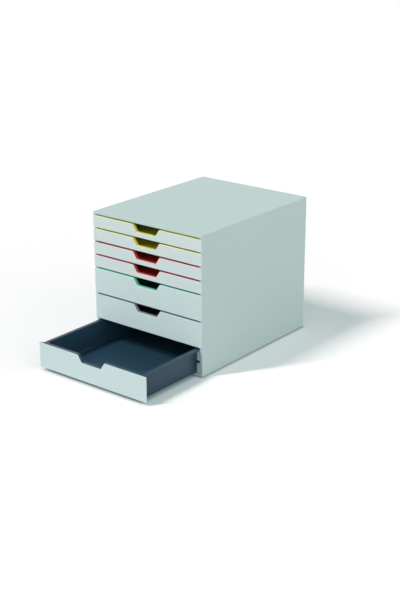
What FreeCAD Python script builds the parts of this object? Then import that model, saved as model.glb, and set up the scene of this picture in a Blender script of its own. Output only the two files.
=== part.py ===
import FreeCAD, Part
import math
import os

# Desktop drawer cabinet. Millimetres, +Z up, front towards -Y.
# The origin is the centre of the housing's footprint on the table.

# Housing
width = 280.0
depth = 352.0
floor_gap = 0.8
housing_top = 292.0
wall = 3.0
top_edge_radius = 3.0
floor_edge_radius = 0.6
rear_edge_radius = 0.9
front_edge_radius = 0.6
half_width = width / 2.0
front_y = -depth / 2.0
rear_y = depth / 2.0

# Front edge returns of the housing, and the nose over the drawers, flush with their covers
side_return = 6.0
return_depth = 4.8
floor_return_top = 5.7
nose_bottom = 286.3
nose_overlap = 2.0

# Rear ring that the rear panel is screwed to
ring_width = 8.0
ring_front = rear_y - 7.5
ring_rear = rear_y - 3.5

# Levels: the drawers' heights are whole numbers of levels
level_pitch = 28.0
first_level = 286.0
level_count = 10
drawers = (
    (1, 0, 1),
    (2, 1, 1),
    (3, 2, 1),
    (4, 3, 1),
    (5, 4, 2),
    (6, 6, 2),
    (7, 8, 2),
)
open_drawer = 7
open_travel = 165.4

# Front cover
cover_face = front_y - 2.0
cover_thickness = 1.8
cover_top_gap = 3.1
cover_bottom_gap = 0.5
cover_corner = 1.6
cover_edge_radius = 0.6

# Finger notch, at the cover's top edge
notch_half_top = 35.2
notch_half_bottom = 25.0
notch_depth = 14.7
notch_outer_radius = 4.0
notch_inner_radius = 3.5

# Tabs that hold the cover on the tray's front wall
tab_width = 8.0
tab_height = 3.0
tab_reach = 2.4
tab_clearance = 0.15
tab_places = (-112.0, -62.0, 62.0, 112.0)

# Tray
tray_inner = 123.8
tray_outer = 125.3
tray_rear = 162.0
tray_floor = 2.0
tray_rear_wall = 1.8
inside_rear = tray_rear - tray_rear_wall
tray_bottom_gap = 1.2
tray_outer_radius = 2.0
tray_inner_radius = 5.0
tray_edge_radius = 0.6

# Tray front: a flange behind the cover, an inner wall, and a lip over the cover and both walls
flange_half = 133.5
flange_front = cover_face + cover_thickness
flange_rear = flange_front + 1.3
lip_front = cover_face + 0.7
lip_rear = flange_front + 5.4
lip_thickness = 0.7
lip_corner = 0.6
lip_edge_radius = 0.3
inner_wall_front = lip_rear - 1.5

# Wings of the tray front that reach in front of the housing's side returns
wing_inner = 131.5
wing_outer = 137.5
wing_thickness = 0.8
wing_clearance = 0.2

# Rim that hangs in the runner grooves
rim_outer = 133.1
rim_height = 3.5
rim_radius = 1.0

# Stop lug on the rim, and the bump in the groove that catches it
full_travel = 250.0
bump_front = -171.5
bump_rear = -168.0
bump_drop = 2.3
lug_front = bump_rear + full_travel + 0.3
lug_length = 6.0
lug_height = 1.8
lug_inner = 129.0
lug_outer = 132.6

# Runner frame
frame_inner = 125.7
frame_plate_inner = 133.9
frame_plate_outer = 135.7
frame_front = -174.5
frame_rear = 166.0
frame_bottom = 6.0
frame_top = 288.0
frame_wall = 2.0
frame_return_gap = 0.3
frame_nose_gap = 0.3
frame_side_gap = 0.2
groove_top_gap = 0.3
groove_bottom_gap = 6.9
rear_stop = 162.4

# Fasteners and feet
screw_radius = 1.25
screw_pilot = 1.3
screw_hole = 1.5
screw_head = 2.8
screw_head_height = 1.0
screw_slot = 0.5
screw_slot_reach = 1.9
panel_thickness = 2.5
panel_gap = 0.4
panel_corner = 1.0
rear_screw_heights = (22.0, 147.0, 272.0)
rear_screw_reach = 5.5
runner_screw_depths = (-140.0, 140.0)
runner_screw_levels = (1, 8)
runner_screw_lift = 10.5
runner_screw_reach = 4.2
screw_end_gap = 0.2
runner_pad_radius = 5.0
foot_radius = 9.0
foot_pocket = 0.8
foot_clearance = 0.1
foot_edge = 0.5
foot_x = 122.0
foot_y = 156.0

# How far joined bodies run into each other, and cutting bodies past what they cut
join = 0.5
past = 1.0
touch = 0.001


def box(low_x, low_y, low_z, high_x, high_y, high_z):
    size = (high_x - low_x, high_y - low_y, high_z - low_z)
    return Part.makeBox(size[0], size[1], size[2], FreeCAD.Vector(low_x, low_y, low_z))


def cylinder(radius, length, base, direction):
    return Part.makeCylinder(radius, length, FreeCAD.Vector(*base), FreeCAD.Vector(*direction))


def rounded_face(corners, to_space):
    """Flat face from corners (a, b, radius), placed by to_space(a, b)."""
    edges = []
    starts = []
    ends = []
    middles = []
    count = len(corners)
    for index in range(count):
        before = corners[index - 1]
        here = corners[index]
        after = corners[(index + 1) % count]
        back = (before[0] - here[0], before[1] - here[1])
        ahead = (after[0] - here[0], after[1] - here[1])
        back_length = math.hypot(back[0], back[1])
        ahead_length = math.hypot(ahead[0], ahead[1])
        back = (back[0] / back_length, back[1] / back_length)
        ahead = (ahead[0] / ahead_length, ahead[1] / ahead_length)
        if here[2] == 0.0:
            starts.append((here[0], here[1]))
            ends.append((here[0], here[1]))
            middles.append(None)
            continue
        half = math.acos(back[0] * ahead[0] + back[1] * ahead[1]) / 2.0
        run = here[2] / math.tan(half)
        bisector = (back[0] + ahead[0], back[1] + ahead[1])
        bisector_length = math.hypot(bisector[0], bisector[1])
        reach = here[2] / math.sin(half) - here[2]
        starts.append((here[0] + back[0] * run, here[1] + back[1] * run))
        ends.append((here[0] + ahead[0] * run, here[1] + ahead[1] * run))
        middle_a = here[0] + bisector[0] / bisector_length * reach
        middle_b = here[1] + bisector[1] / bisector_length * reach
        middles.append((middle_a, middle_b))
    for index in range(count):
        following = (index + 1) % count
        if middles[index] is not None:
            arc = Part.Arc(to_space(*starts[index]), to_space(*middles[index]), to_space(*ends[index]))
            edges.append(arc.toShape())
        edges.append(Part.makeLine(to_space(*ends[index]), to_space(*starts[following])))
    return Part.Face(Part.Wire(edges))


def front_prism(corners, low_y, high_y):
    """Prism along Y of a profile given in X and Z."""
    face = rounded_face(corners, lambda x, z: FreeCAD.Vector(x, low_y, z))
    return face.extrude(FreeCAD.Vector(0.0, high_y - low_y, 0.0))


def edges_in_plane(shape, axis, value):
    found = []
    for edge in shape.Edges:
        bounds = edge.BoundBox
        low = (bounds.XMin, bounds.YMin, bounds.ZMin)[axis]
        high = (bounds.XMax, bounds.YMax, bounds.ZMax)[axis]
        if abs(low - value) < touch and abs(high - value) < touch:
            found.append(edge)
    return found


def mirrored(shape):
    return shape.mirror(FreeCAD.Vector(0.0, 0.0, 0.0), FreeCAD.Vector(1.0, 0.0, 0.0))


def level_height(level):
    return first_level - level_pitch * level


def rounded_box_profile(half, low_z, high_z, low_radius, high_radius):
    return [
        (-half, low_z, low_radius),
        (half, low_z, low_radius),
        (half, high_z, high_radius),
        (-half, high_z, high_radius),
    ]


def screw(base, direction, reach):
    """Pan-head screw with a cross slot: the head's underside is at base, the shank runs along direction."""
    head = cylinder(screw_head, screw_head_height, (0.0, 0.0, 0.0), (0.0, 0.0, 1.0))
    shank = cylinder(screw_radius, reach, (0.0, 0.0, 0.0), (0.0, 0.0, -1.0))
    low = screw_head_height - screw_slot
    half = screw_slot / 2.0
    slot_one = box(-screw_slot_reach, -half, low, screw_slot_reach, half, screw_head_height + past)
    slot_two = box(-half, -screw_slot_reach, low, half, screw_slot_reach, screw_head_height + past)
    body = head.fuse(shank).cut([slot_one, slot_two])
    turn = FreeCAD.Rotation(FreeCAD.Vector(0.0, 0.0, -1.0), FreeCAD.Vector(*direction))
    body.Placement = FreeCAD.Placement(FreeCAD.Vector(*base), turn)
    return body


def rear_screw_places():
    places = []
    across = half_width - wall - ring_width / 2.0
    for side in (-1.0, 1.0):
        for height in rear_screw_heights:
            places.append((side * across, ring_rear + panel_thickness, height))
    return places


def runner_screw_places():
    """Places on the right side, between two grooves."""
    places = []
    for level in runner_screw_levels:
        for along in runner_screw_depths:
            height = level_height(level) + runner_screw_lift
            places.append((frame_plate_inner, along, height))
    return places


def make_housing():
    outline = rounded_box_profile(half_width, floor_gap, housing_top, floor_edge_radius, top_edge_radius)
    outer = front_prism(outline, front_y, rear_y)
    outer = outer.makeFillet(rear_edge_radius, edges_in_plane(outer, 1, rear_y))
    outer = outer.makeFillet(front_edge_radius, edges_in_plane(outer, 1, front_y))
    nose_outline = rounded_box_profile(half_width, nose_bottom, housing_top, 0.0, top_edge_radius)
    nose = front_prism(nose_outline, cover_face, front_y + nose_overlap)
    nose = nose.makeFillet(front_edge_radius, edges_in_plane(nose, 1, cover_face))
    outer = outer.fuse(nose)
    inner_half = half_width - wall
    inner_floor = floor_gap + wall
    inner_top = housing_top - wall
    opening_half = half_width - side_return
    behind_return = front_y + return_depth
    hollow = box(-inner_half, behind_return, inner_floor, inner_half, ring_front, inner_top)
    mouth_rear = behind_return + past
    mouth = box(-opening_half, front_y - past, floor_return_top, opening_half, mouth_rear, nose_bottom)
    ring_half = inner_half - ring_width
    ring_low = inner_floor + ring_width
    ring_high = inner_top - ring_width
    ring_hole = box(-ring_half, ring_front - past, ring_low, ring_half, ring_rear + past, ring_high)
    recess = box(-inner_half, ring_rear, inner_floor, inner_half, rear_y + past, inner_top)
    shell = outer.cut([hollow, mouth, ring_hole, recess])
    pads = []
    holes = []
    pad_length = inner_half - frame_plate_outer
    for place in runner_screw_places():
        for side in (-1.0, 1.0):
            start = (side * frame_plate_outer, place[1], place[2])
            pads.append(cylinder(runner_pad_radius, pad_length + join, start, (side, 0.0, 0.0)))
            length = runner_screw_reach - (frame_plate_outer - frame_plate_inner) + screw_end_gap
            holes.append(cylinder(screw_pilot, length, start, (side, 0.0, 0.0)))
    shell = shell.fuse(pads)
    for place in rear_screw_places():
        start = (place[0], ring_rear + past, place[2])
        holes.append(cylinder(screw_pilot, rear_screw_reach + past, start, (0.0, -1.0, 0.0)))
    for across in (-foot_x, foot_x):
        for along in (-foot_y, foot_y):
            start = (across, along, floor_gap - past)
            holes.append(cylinder(foot_radius + foot_clearance, foot_pocket + past, start, (0.0, 0.0, 1.0)))
    return shell.cut(holes).removeSplitter()


def make_rear_panel():
    half = half_width - wall - panel_gap
    low = floor_gap + wall + panel_gap
    high = housing_top - wall - panel_gap
    profile = rounded_box_profile(half, low, high, panel_corner, panel_corner)
    panel = front_prism(profile, ring_rear, ring_rear + panel_thickness)
    holes = []
    for place in rear_screw_places():
        start = (place[0], ring_rear - past, place[2])
        holes.append(cylinder(screw_hole, panel_thickness + 2.0 * past, start, (0.0, 1.0, 0.0)))
    return panel.cut(holes)


def make_right_runner_frame():
    behind_return = front_y + return_depth + frame_return_gap
    plate_x = frame_plate_outer
    front_x = frame_plate_inner - frame_side_gap
    reach = frame_plate_inner + join
    parts = [box(frame_plate_inner, behind_return, frame_bottom, plate_x, frame_rear, frame_top)]
    for gap in range(level_count + 1):
        if gap == 0:
            top = frame_top
        else:
            top = level_height(gap - 1) - groove_bottom_gap
        if gap == level_count:
            bottom = frame_bottom
        else:
            bottom = level_height(gap) - groove_top_gap
        ledge_bottom = max(top - frame_wall, bottom)
        parts.append(box(frame_inner, behind_return, ledge_bottom, reach, frame_rear, top))
        ledge_top = min(bottom + frame_wall, top)
        parts.append(box(frame_inner, behind_return, bottom, reach, frame_rear, ledge_top))
        cap_top = min(top, nose_bottom - frame_nose_gap)
        parts.append(box(frame_inner, frame_front, bottom, front_x, behind_return + join, cap_top))
        parts.append(box(frame_inner, frame_rear - frame_wall, bottom, reach, frame_rear, top))
    for level in range(level_count):
        low = level_height(level) - groove_bottom_gap
        high = level_height(level) - groove_top_gap
        parts.append(box(frame_inner, rear_stop, low - join, reach, frame_rear, high + join))
        parts.append(box(lug_inner, bump_front, high - bump_drop, front_x, bump_rear, high + join))
    frame = parts[0].fuse(parts[1:])
    holes = []
    for place in runner_screw_places():
        start = (frame_plate_inner - past, place[1], place[2])
        length = frame_plate_outer - frame_plate_inner + 2.0 * past
        holes.append(cylinder(screw_hole, length, start, (1.0, 0.0, 0.0)))
    return frame.cut(holes).removeSplitter()


def make_runner_screws():
    screws = []
    for place in runner_screw_places():
        right = screw(place, (1.0, 0.0, 0.0), runner_screw_reach)
        screws.append(right)
        screws.append(mirrored(right))
    return Part.makeCompound(screws)


def make_rear_screws():
    screws = []
    for place in rear_screw_places():
        screws.append(screw(place, (0.0, -1.0, 0.0), rear_screw_reach))
    return Part.makeCompound(screws)


def make_foot(across, along):
    foot = cylinder(foot_radius, floor_gap + foot_pocket, (across, along, 0.0), (0.0, 0.0, 1.0))
    return foot.makeFillet(foot_edge, edges_in_plane(foot, 2, 0.0))


def notched_profile(half, low, high, corner, notch_growth):
    """Front outline with the finger notch in its top edge, the notch wider by a growth."""
    top = notch_half_top + notch_growth
    bottom = notch_half_bottom + notch_growth
    floor = high - notch_depth
    outer_radius = notch_outer_radius - notch_growth
    inner_radius = notch_inner_radius + notch_growth
    return [
        (-half, low, corner),
        (half, low, corner),
        (half, high, corner),
        (top, high, outer_radius),
        (bottom, floor, inner_radius),
        (-bottom, floor, inner_radius),
        (-top, high, outer_radius),
        (-half, high, corner),
    ]


def tab_boxes(middle, front, rear, clearance):
    """Boxes of the cover's tabs, widened by a clearance, about the height middle."""
    boxes = []
    for across in tab_places:
        half_across = tab_width / 2.0 + clearance
        half_high = tab_height / 2.0 + clearance
        low = (across - half_across, front, middle - half_high)
        high = (across + half_across, rear, middle + half_high)
        boxes.append(box(*low, *high))
    return boxes


def make_cover(level, units):
    top = level_height(level) - cover_top_gap
    bottom = level_height(level + units) + cover_bottom_gap
    rear = cover_face + cover_thickness
    outline = notched_profile(half_width, bottom, top, cover_corner, 0.0)
    plate = front_prism(outline, cover_face, rear)
    plate = plate.makeFillet(cover_edge_radius, edges_in_plane(plate, 1, cover_face))
    rebate_inner = wing_inner - wing_clearance
    rebate_outer = wing_outer + wing_clearance
    rebate_front = rear - wing_thickness
    rebate = box(rebate_inner, rebate_front, bottom - past, rebate_outer, rear + past, top + past)
    cover = plate.cut([rebate, mirrored(rebate)])
    tabs = tab_boxes((bottom + top) / 2.0, rear - join, rear + tab_reach, 0.0)
    return cover.fuse(tabs)


def make_tray_front(cover_top, lip_top, bottom):
    """Hollow front wall: flange, inner wall and lip, with the wings at its ends."""
    cover_line = notched_profile(half_width, bottom - past, cover_top, 0.0, 0.0)
    outline = notched_profile(flange_half, bottom, lip_top, lip_corner, -lip_thickness)
    hollow = front_prism(cover_line, flange_rear, inner_wall_front)
    runner_space = box(tray_outer, flange_rear, bottom - past, half_width, lip_rear + past, lip_top + past)
    front = front_prism(outline, flange_front, lip_rear)
    front = front.cut([hollow, runner_space, mirrored(runner_space)])
    lip_outline = notched_profile(wing_outer, bottom, lip_top, lip_corner, -lip_thickness)
    lip = front_prism(lip_outline, lip_front, flange_front)
    lip = lip.makeFillet(lip_edge_radius, edges_in_plane(lip, 1, lip_front))
    lip = lip.cut(front_prism(cover_line, lip_front - past, flange_front + past))
    wing = box(wing_inner, flange_front - wing_thickness, bottom, wing_outer, flange_front, cover_top)
    return front.fuse([lip, wing, mirrored(wing)])


def opening_edges(tray, top, floor):
    """The inner edges round the tray's opening, down into the notch."""
    found = []
    for edge in tray.Edges:
        bounds = edge.BoundBox
        within_sides = max(abs(bounds.XMin), abs(bounds.XMax)) < tray_inner + touch
        within_ends = bounds.YMin > lip_rear - touch and bounds.YMax < inside_rear + touch
        if not within_sides or not within_ends:
            continue
        at_top = bounds.ZMin > top - touch
        at_notch = bounds.YMax < lip_rear + touch and bounds.ZMin > floor + tray_inner_radius + touch
        if at_top or at_notch:
            found.append(edge)
    return found


def make_tray(level, units):
    cover_top = level_height(level) - cover_top_gap
    cover_bottom = level_height(level + units) + cover_bottom_gap
    top = cover_top + lip_thickness
    bottom = level_height(level + units) + tray_bottom_gap
    floor = bottom + tray_floor

    body = box(-tray_outer, lip_rear, bottom, tray_outer, tray_rear, top)
    rounded = []
    for edge in body.Edges:
        bounds = edge.BoundBox
        at_bottom = bounds.ZMax < bottom + touch
        at_rear = bounds.YMin > tray_rear - touch
        along_side = bounds.YLength > past
        upright = bounds.ZLength > past
        if at_bottom and (along_side or at_rear):
            rounded.append(edge)
        elif upright and at_rear:
            rounded.append(edge)
    body = body.makeFillet(tray_outer_radius, rounded)

    solids = [make_tray_front(cover_top, top, bottom)]
    rim_top = cover_top
    rim_low = rim_top - rim_height
    rim = box(tray_outer - join, flange_rear, rim_low, rim_outer, tray_rear, rim_top)
    for edge in rim.Edges:
        bounds = edge.BoundBox
        if bounds.XMin > rim_outer - touch and bounds.ZMin > rim_top - touch:
            rim = rim.makeFillet(rim_radius, [edge])
            break
    lug = box(lug_inner, lug_front, rim_top - join, lug_outer, lug_front + lug_length, rim_top + lug_height)
    strip_low = bottom + tray_outer_radius
    side_strip = box(tray_inner, flange_rear - join, strip_low, tray_outer, lip_rear + join, top)
    for part in (rim, lug, side_strip):
        solids.append(part)
        solids.append(mirrored(part))
    tray = body.fuse(solids)

    inside = box(-tray_inner, lip_rear, floor, tray_inner, inside_rear, top + past)
    rounded = []
    for edge in inside.Edges:
        if edge.BoundBox.ZMin < top:
            rounded.append(edge)
    inside = inside.makeFillet(tray_inner_radius, rounded)
    tray = tray.cut(inside).removeSplitter()
    tray = tray.makeFillet(tray_edge_radius, opening_edges(tray, top, floor))

    middle = (cover_bottom + cover_top) / 2.0
    slots = tab_boxes(middle, flange_front - past, flange_rear + join, tab_clearance)
    return tray.cut(slots)


def save(name, shape):
    volume = 0.0
    for solid in shape.Solids:
        if not solid.isValid():
            print("not valid:", name)
        volume += solid.Volume
    print(name, "solids", len(shape.Solids), "volume cm3", round(volume / 1000.0, 2))
    if len(shape.Solids) == 1:
        shape = shape.Solids[0]
    shape.exportStep("parts/" + name + ".step")


os.makedirs("parts", exist_ok=True)
save("housing_shell", make_housing())
save("rear_panel", make_rear_panel())
right_frame = make_right_runner_frame()
save("right_runner_frame", right_frame)
save("left_runner_frame", mirrored(right_frame))
save("rear_screws", make_rear_screws())
save("runner_screws", make_runner_screws())
save("foot_front_left", make_foot(-foot_x, -foot_y))
save("foot_front_right", make_foot(foot_x, -foot_y))
save("foot_rear_left", make_foot(-foot_x, foot_y))
save("foot_rear_right", make_foot(foot_x, foot_y))
for number, start_level, unit_count in drawers:
    shift = FreeCAD.Vector(0.0, 0.0, 0.0)
    if number == open_drawer:
        shift = FreeCAD.Vector(0.0, -open_travel, 0.0)
    cover_shape = make_cover(start_level, unit_count)
    cover_shape.translate(shift)
    save("front_cover_" + str(number), cover_shape)
    tray_shape = make_tray(start_level, unit_count)
    tray_shape.translate(shift)
    save("tray_" + str(number), tray_shape)
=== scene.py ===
import math

import bpy
from mathutils import Matrix, Vector

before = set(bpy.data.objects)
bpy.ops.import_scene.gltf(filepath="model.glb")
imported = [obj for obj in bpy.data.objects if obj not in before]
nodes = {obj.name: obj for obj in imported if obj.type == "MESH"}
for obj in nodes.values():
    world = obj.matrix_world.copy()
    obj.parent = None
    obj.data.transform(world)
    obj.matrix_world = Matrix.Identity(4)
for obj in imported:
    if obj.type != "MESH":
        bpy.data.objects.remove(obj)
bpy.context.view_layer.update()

# Camera, fitted to the photograph's frame of 400 by 600
image_height = 600.0
focal_pixels = 1199.6
sensor_height = 36.0
camera_place = Vector((1.48784, -1.86379, 0.95860))
camera_yaw = 0.67580
camera_pitch = 0.35290
camera_roll = -0.00310

# Key light: suns one above the other, so that shadows blur more along their length than across it
key_azimuth = math.radians(-122.45)
key_elevation = math.radians(53.5)
key_count = 4
key_spacing = math.radians(5.0)
key_angle = math.radians(5.0)
key_power = 2.1

# Sky: strength all round the horizon, and what is added there on the right and in front
sky_base = 0.6
sky_right = 1.9
sky_front = 0.7
sky_colour = (1.0, 1.0, 1.0)

# Floor: what lights the object, what the camera sees, and how far the painted contact shade reaches
floor_size = 14.0
floor_colour = (0.45, 0.45, 0.45)
floor_shown_colour = (0.95, 0.83, 0.83)
floor_glow = (0.10, 0.215, 0.213)
painted_shade_reach = 0.010

# Plastics: how much the flow marks lighten and darken them
flow_change = 0.02


def linear(red, green, blue):
    """Scene-linear colour of an sRGB colour in 0 to 255."""
    out = []
    for value in (red, green, blue):
        share = value / 255.0
        if share <= 0.04045:
            out.append(share / 12.92)
        else:
            out.append(((share + 0.055) / 1.055) ** 2.4)
    return (out[0], out[1], out[2], 1.0)


def new_material(name):
    material = bpy.data.materials.new(name)
    material.use_nodes = True
    tree = material.node_tree
    shader = tree.nodes["Principled BSDF"]
    return material, tree, shader


def noise(tree, coordinates, scale, detail):
    texture = tree.nodes.new("ShaderNodeTexNoise")
    texture.inputs["Scale"].default_value = scale
    texture.inputs["Detail"].default_value = detail
    tree.links.new(coordinates, texture.inputs["Vector"])
    return texture.outputs["Fac"]


def mapped(tree, value, low, high, from_high=1.0):
    """The value's range from 0 to from_high, taken to low to high and held there."""
    node = tree.nodes.new("ShaderNodeMapRange")
    node.inputs["From Max"].default_value = from_high
    node.inputs["To Min"].default_value = low
    node.inputs["To Max"].default_value = high
    tree.links.new(value, node.inputs["Value"])
    return node.outputs["Result"]


def joined(tree, operation, values):
    """The values added or multiplied together."""
    total = values[0]
    for value in values[1:]:
        node = tree.nodes.new("ShaderNodeMath")
        node.operation = operation
        tree.links.new(total, node.inputs[0])
        tree.links.new(value, node.inputs[1])
        total = node.outputs["Value"]
    return total


def backdrop_rays(tree):
    """One where a ray shows the backdrop: seen straight, mirrored or through glass."""
    rays = tree.nodes.new("ShaderNodeLightPath")
    kinds = ("Is Camera Ray", "Is Glossy Ray", "Is Transmission Ray")
    return mapped(tree, joined(tree, "ADD", [rays.outputs[kind] for kind in kinds]), 0.0, 1.0)


def moulded_plastic(name, colour, roughness, specular, grain_scale, grain_height):
    """Moulded plastic: eroded grain, faint flow marks in shade and gloss."""
    material, tree, shader = new_material(name)
    place = tree.nodes.new("ShaderNodeTexCoord").outputs["Object"]
    flow = noise(tree, place, 9.0, 3.0)
    grain = noise(tree, place, grain_scale, 4.0)

    tint = tree.nodes.new("ShaderNodeMix")
    tint.data_type = "RGBA"
    tint.inputs["A"].default_value = [channel * (1.0 - flow_change) for channel in colour[:3]] + [1.0]
    tint.inputs["B"].default_value = [channel * (1.0 + flow_change) for channel in colour[:3]] + [1.0]
    tree.links.new(flow, tint.inputs["Factor"])
    tree.links.new(tint.outputs["Result"], shader.inputs["Base Color"])
    tree.links.new(mapped(tree, grain, roughness - 0.06, roughness + 0.06), shader.inputs["Roughness"])

    bump = tree.nodes.new("ShaderNodeBump")
    bump.inputs["Distance"].default_value = grain_height
    bump.inputs["Strength"].default_value = 0.5
    tree.links.new(grain, bump.inputs["Height"])
    tree.links.new(bump.outputs["Normal"], shader.inputs["Normal"])
    shader.inputs["Specular IOR Level"].default_value = specular
    return material


def plated_steel(name):
    material, tree, shader = new_material(name)
    place = tree.nodes.new("ShaderNodeTexCoord").outputs["Object"]
    scratches = noise(tree, place, 900.0, 5.0)
    tree.links.new(mapped(tree, scratches, 0.25, 0.45), shader.inputs["Roughness"])
    shader.inputs["Base Color"].default_value = linear(186, 188, 192)
    shader.inputs["Metallic"].default_value = 1.0
    return material


def give(node_names, material):
    for name in node_names:
        slots = nodes[name].data.materials
        slots.clear()
        slots.append(material)


def dress():
    housing = moulded_plastic("housing_plastic", linear(186, 208, 206), 0.52, 0.3, 1400.0, 0.00006)
    low_cover = moulded_plastic("low_cover_plastic", linear(203, 219, 218), 0.45, 0.3, 1800.0, 0.00004)
    # The tall covers take a slightly darker copy of the cover plastic: painted shade matching the darker
    # look of the covers beside the open drawer
    shaded_tall_cover = moulded_plastic("tall_cover_plastic", linear(198, 218, 217), 0.45, 0.3, 1800.0, 0.00004)
    give(["housing_shell", "rear_panel", "left_runner_frame", "right_runner_frame"], housing)
    give(["front_cover_%d" % number for number in range(1, 5)], low_cover)
    give(["front_cover_%d" % number for number in range(5, 8)], shaded_tall_cover)
    tray_colours = {
        "yellow": (linear(228, 222, 90), 0.30, 0.5, (1, 2)),
        "red": (linear(205, 66, 68), 0.30, 0.5, (3, 4)),
        "green": (linear(108, 206, 174), 0.30, 0.5, (5,)),
        "lilac": (linear(148, 142, 160), 0.30, 0.5, (6,)),
        "slate": (linear(40, 68, 85), 0.30, 0.25, (7,)),
    }
    for colour_name, (colour, roughness, specular, numbers) in tray_colours.items():
        plastic = moulded_plastic(colour_name + "_plastic", colour, roughness, specular, 1600.0, 0.00003)
        give(["tray_%d" % number for number in numbers], plastic)
    rubber = moulded_plastic("foot_rubber", linear(58, 60, 62), 0.75, 0.5, 1200.0, 0.00008)
    give(["foot_front_left", "foot_front_right", "foot_rear_left", "foot_rear_right"], rubber)
    give(["rear_screws", "runner_screws"], plated_steel("screw_steel"))


def make_camera():
    data = bpy.data.cameras.new("photo_camera")
    data.sensor_width = sensor_height
    data.lens = focal_pixels * sensor_height / image_height
    camera = bpy.data.objects.new("photo_camera", data)
    bpy.context.scene.collection.objects.link(camera)
    forward = Vector((
        -math.sin(camera_yaw) * math.cos(camera_pitch),
        math.cos(camera_yaw) * math.cos(camera_pitch),
        -math.sin(camera_pitch),
    ))
    level = Vector((math.cos(camera_yaw), math.sin(camera_yaw), 0.0))
    upright = level.cross(forward)
    right = math.cos(camera_roll) * level + math.sin(camera_roll) * upright
    up = -math.sin(camera_roll) * level + math.cos(camera_roll) * upright
    turn = Matrix((right, up, -forward)).transposed()
    camera.matrix_world = Matrix.Translation(camera_place) @ turn.to_4x4()
    data.clip_start = 0.05
    data.clip_end = 50.0
    bpy.context.scene.camera = camera


def make_key():
    for index in range(key_count):
        data = bpy.data.lights.new("key_sun_%d" % (index + 1), "SUN")
        data.energy = key_power / key_count
        data.angle = key_angle
        sun = bpy.data.objects.new("key_sun_%d" % (index + 1), data)
        bpy.context.scene.collection.objects.link(sun)
        elevation = key_elevation + (index - (key_count - 1) / 2.0) * key_spacing
        towards = Vector((
            math.cos(elevation) * math.cos(key_azimuth),
            math.cos(elevation) * math.sin(key_azimuth),
            math.sin(elevation),
        ))
        sun.rotation_mode = "QUATERNION"
        sun.rotation_quaternion = towards.to_track_quat("Z", "Y")


def make_sky():
    """Soft studio dome that lights more from the right and the front, and shows white."""
    world = bpy.data.worlds.new("studio")
    bpy.context.scene.world = world
    world.use_nodes = True
    tree = world.node_tree
    tree.nodes.clear()
    output = tree.nodes.new("ShaderNodeOutputWorld")
    place = tree.nodes.new("ShaderNodeTexCoord").outputs["Generated"]
    parts = tree.nodes.new("ShaderNodeSeparateXYZ")
    tree.links.new(place, parts.inputs["Vector"])
    level_light = joined(tree, "ADD", [
        mapped(tree, parts.outputs["X"], sky_base, sky_base + sky_right),
        mapped(tree, parts.outputs["Y"], 0.0, sky_front, -1.0),
    ])
    strength = joined(tree, "MULTIPLY", [level_light, mapped(tree, parts.outputs["Z"], 1.0, 0.0)])
    dome = tree.nodes.new("ShaderNodeBackground")
    dome.inputs["Color"].default_value = (*sky_colour, 1.0)
    tree.links.new(strength, dome.inputs["Strength"])
    white = tree.nodes.new("ShaderNodeBackground")
    white.inputs["Color"].default_value = (1.0, 1.0, 1.0, 1.0)
    choice = tree.nodes.new("ShaderNodeMixShader")
    tree.links.new(backdrop_rays(tree), choice.inputs["Fac"])
    tree.links.new(dome.outputs["Background"], choice.inputs[1])
    tree.links.new(white.outputs["Background"], choice.inputs[2])
    tree.links.new(choice.outputs["Shader"], output.inputs["Surface"])


def make_floor():
    """Pale floor that runs out to white, keeps the object's shadow and has painted shade where things
    touch it.
    """
    size = floor_size
    corners = [(-size, -size, 0.0), (size, -size, 0.0), (size, size, 0.0), (-size, size, 0.0)]
    mesh = bpy.data.meshes.new("floor")
    mesh.from_pydata(corners, [], [(0, 1, 2, 3)])
    floor = bpy.data.objects.new("floor", mesh)
    bpy.context.scene.collection.objects.link(floor)
    material = bpy.data.materials.new("floor")
    material.use_nodes = True
    tree = material.node_tree
    tree.nodes.clear()
    output = tree.nodes.new("ShaderNodeOutputMaterial")
    plain = tree.nodes.new("ShaderNodeBsdfDiffuse")
    plain.inputs["Color"].default_value = (*floor_colour, 1.0)
    shown = tree.nodes.new("ShaderNodeBsdfDiffuse")
    # Painted shade: ambient occlusion darkens the floor's shown colour and glow where things touch it or
    # come close
    painted_contact_shade = tree.nodes.new("ShaderNodeAmbientOcclusion")
    painted_contact_shade.inputs["Color"].default_value = (*floor_shown_colour, 1.0)
    painted_contact_shade.inputs["Distance"].default_value = painted_shade_reach
    tree.links.new(painted_contact_shade.outputs["Color"], shown.inputs["Color"])
    glow = tree.nodes.new("ShaderNodeEmission")
    glow.inputs["Color"].default_value = (*floor_glow, 1.0)
    tree.links.new(painted_contact_shade.outputs["AO"], glow.inputs["Strength"])
    both = tree.nodes.new("ShaderNodeAddShader")
    tree.links.new(shown.outputs["BSDF"], both.inputs[0])
    tree.links.new(glow.outputs["Emission"], both.inputs[1])
    choice = tree.nodes.new("ShaderNodeMixShader")
    tree.links.new(backdrop_rays(tree), choice.inputs["Fac"])
    tree.links.new(plain.outputs["BSDF"], choice.inputs[1])
    tree.links.new(both.outputs["Shader"], choice.inputs[2])
    tree.links.new(choice.outputs["Shader"], output.inputs["Surface"])
    mesh.materials.append(material)


dress()
make_camera()
make_key()
make_sky()
make_floor()
bpy.context.scene.view_settings.view_transform = "Standard"
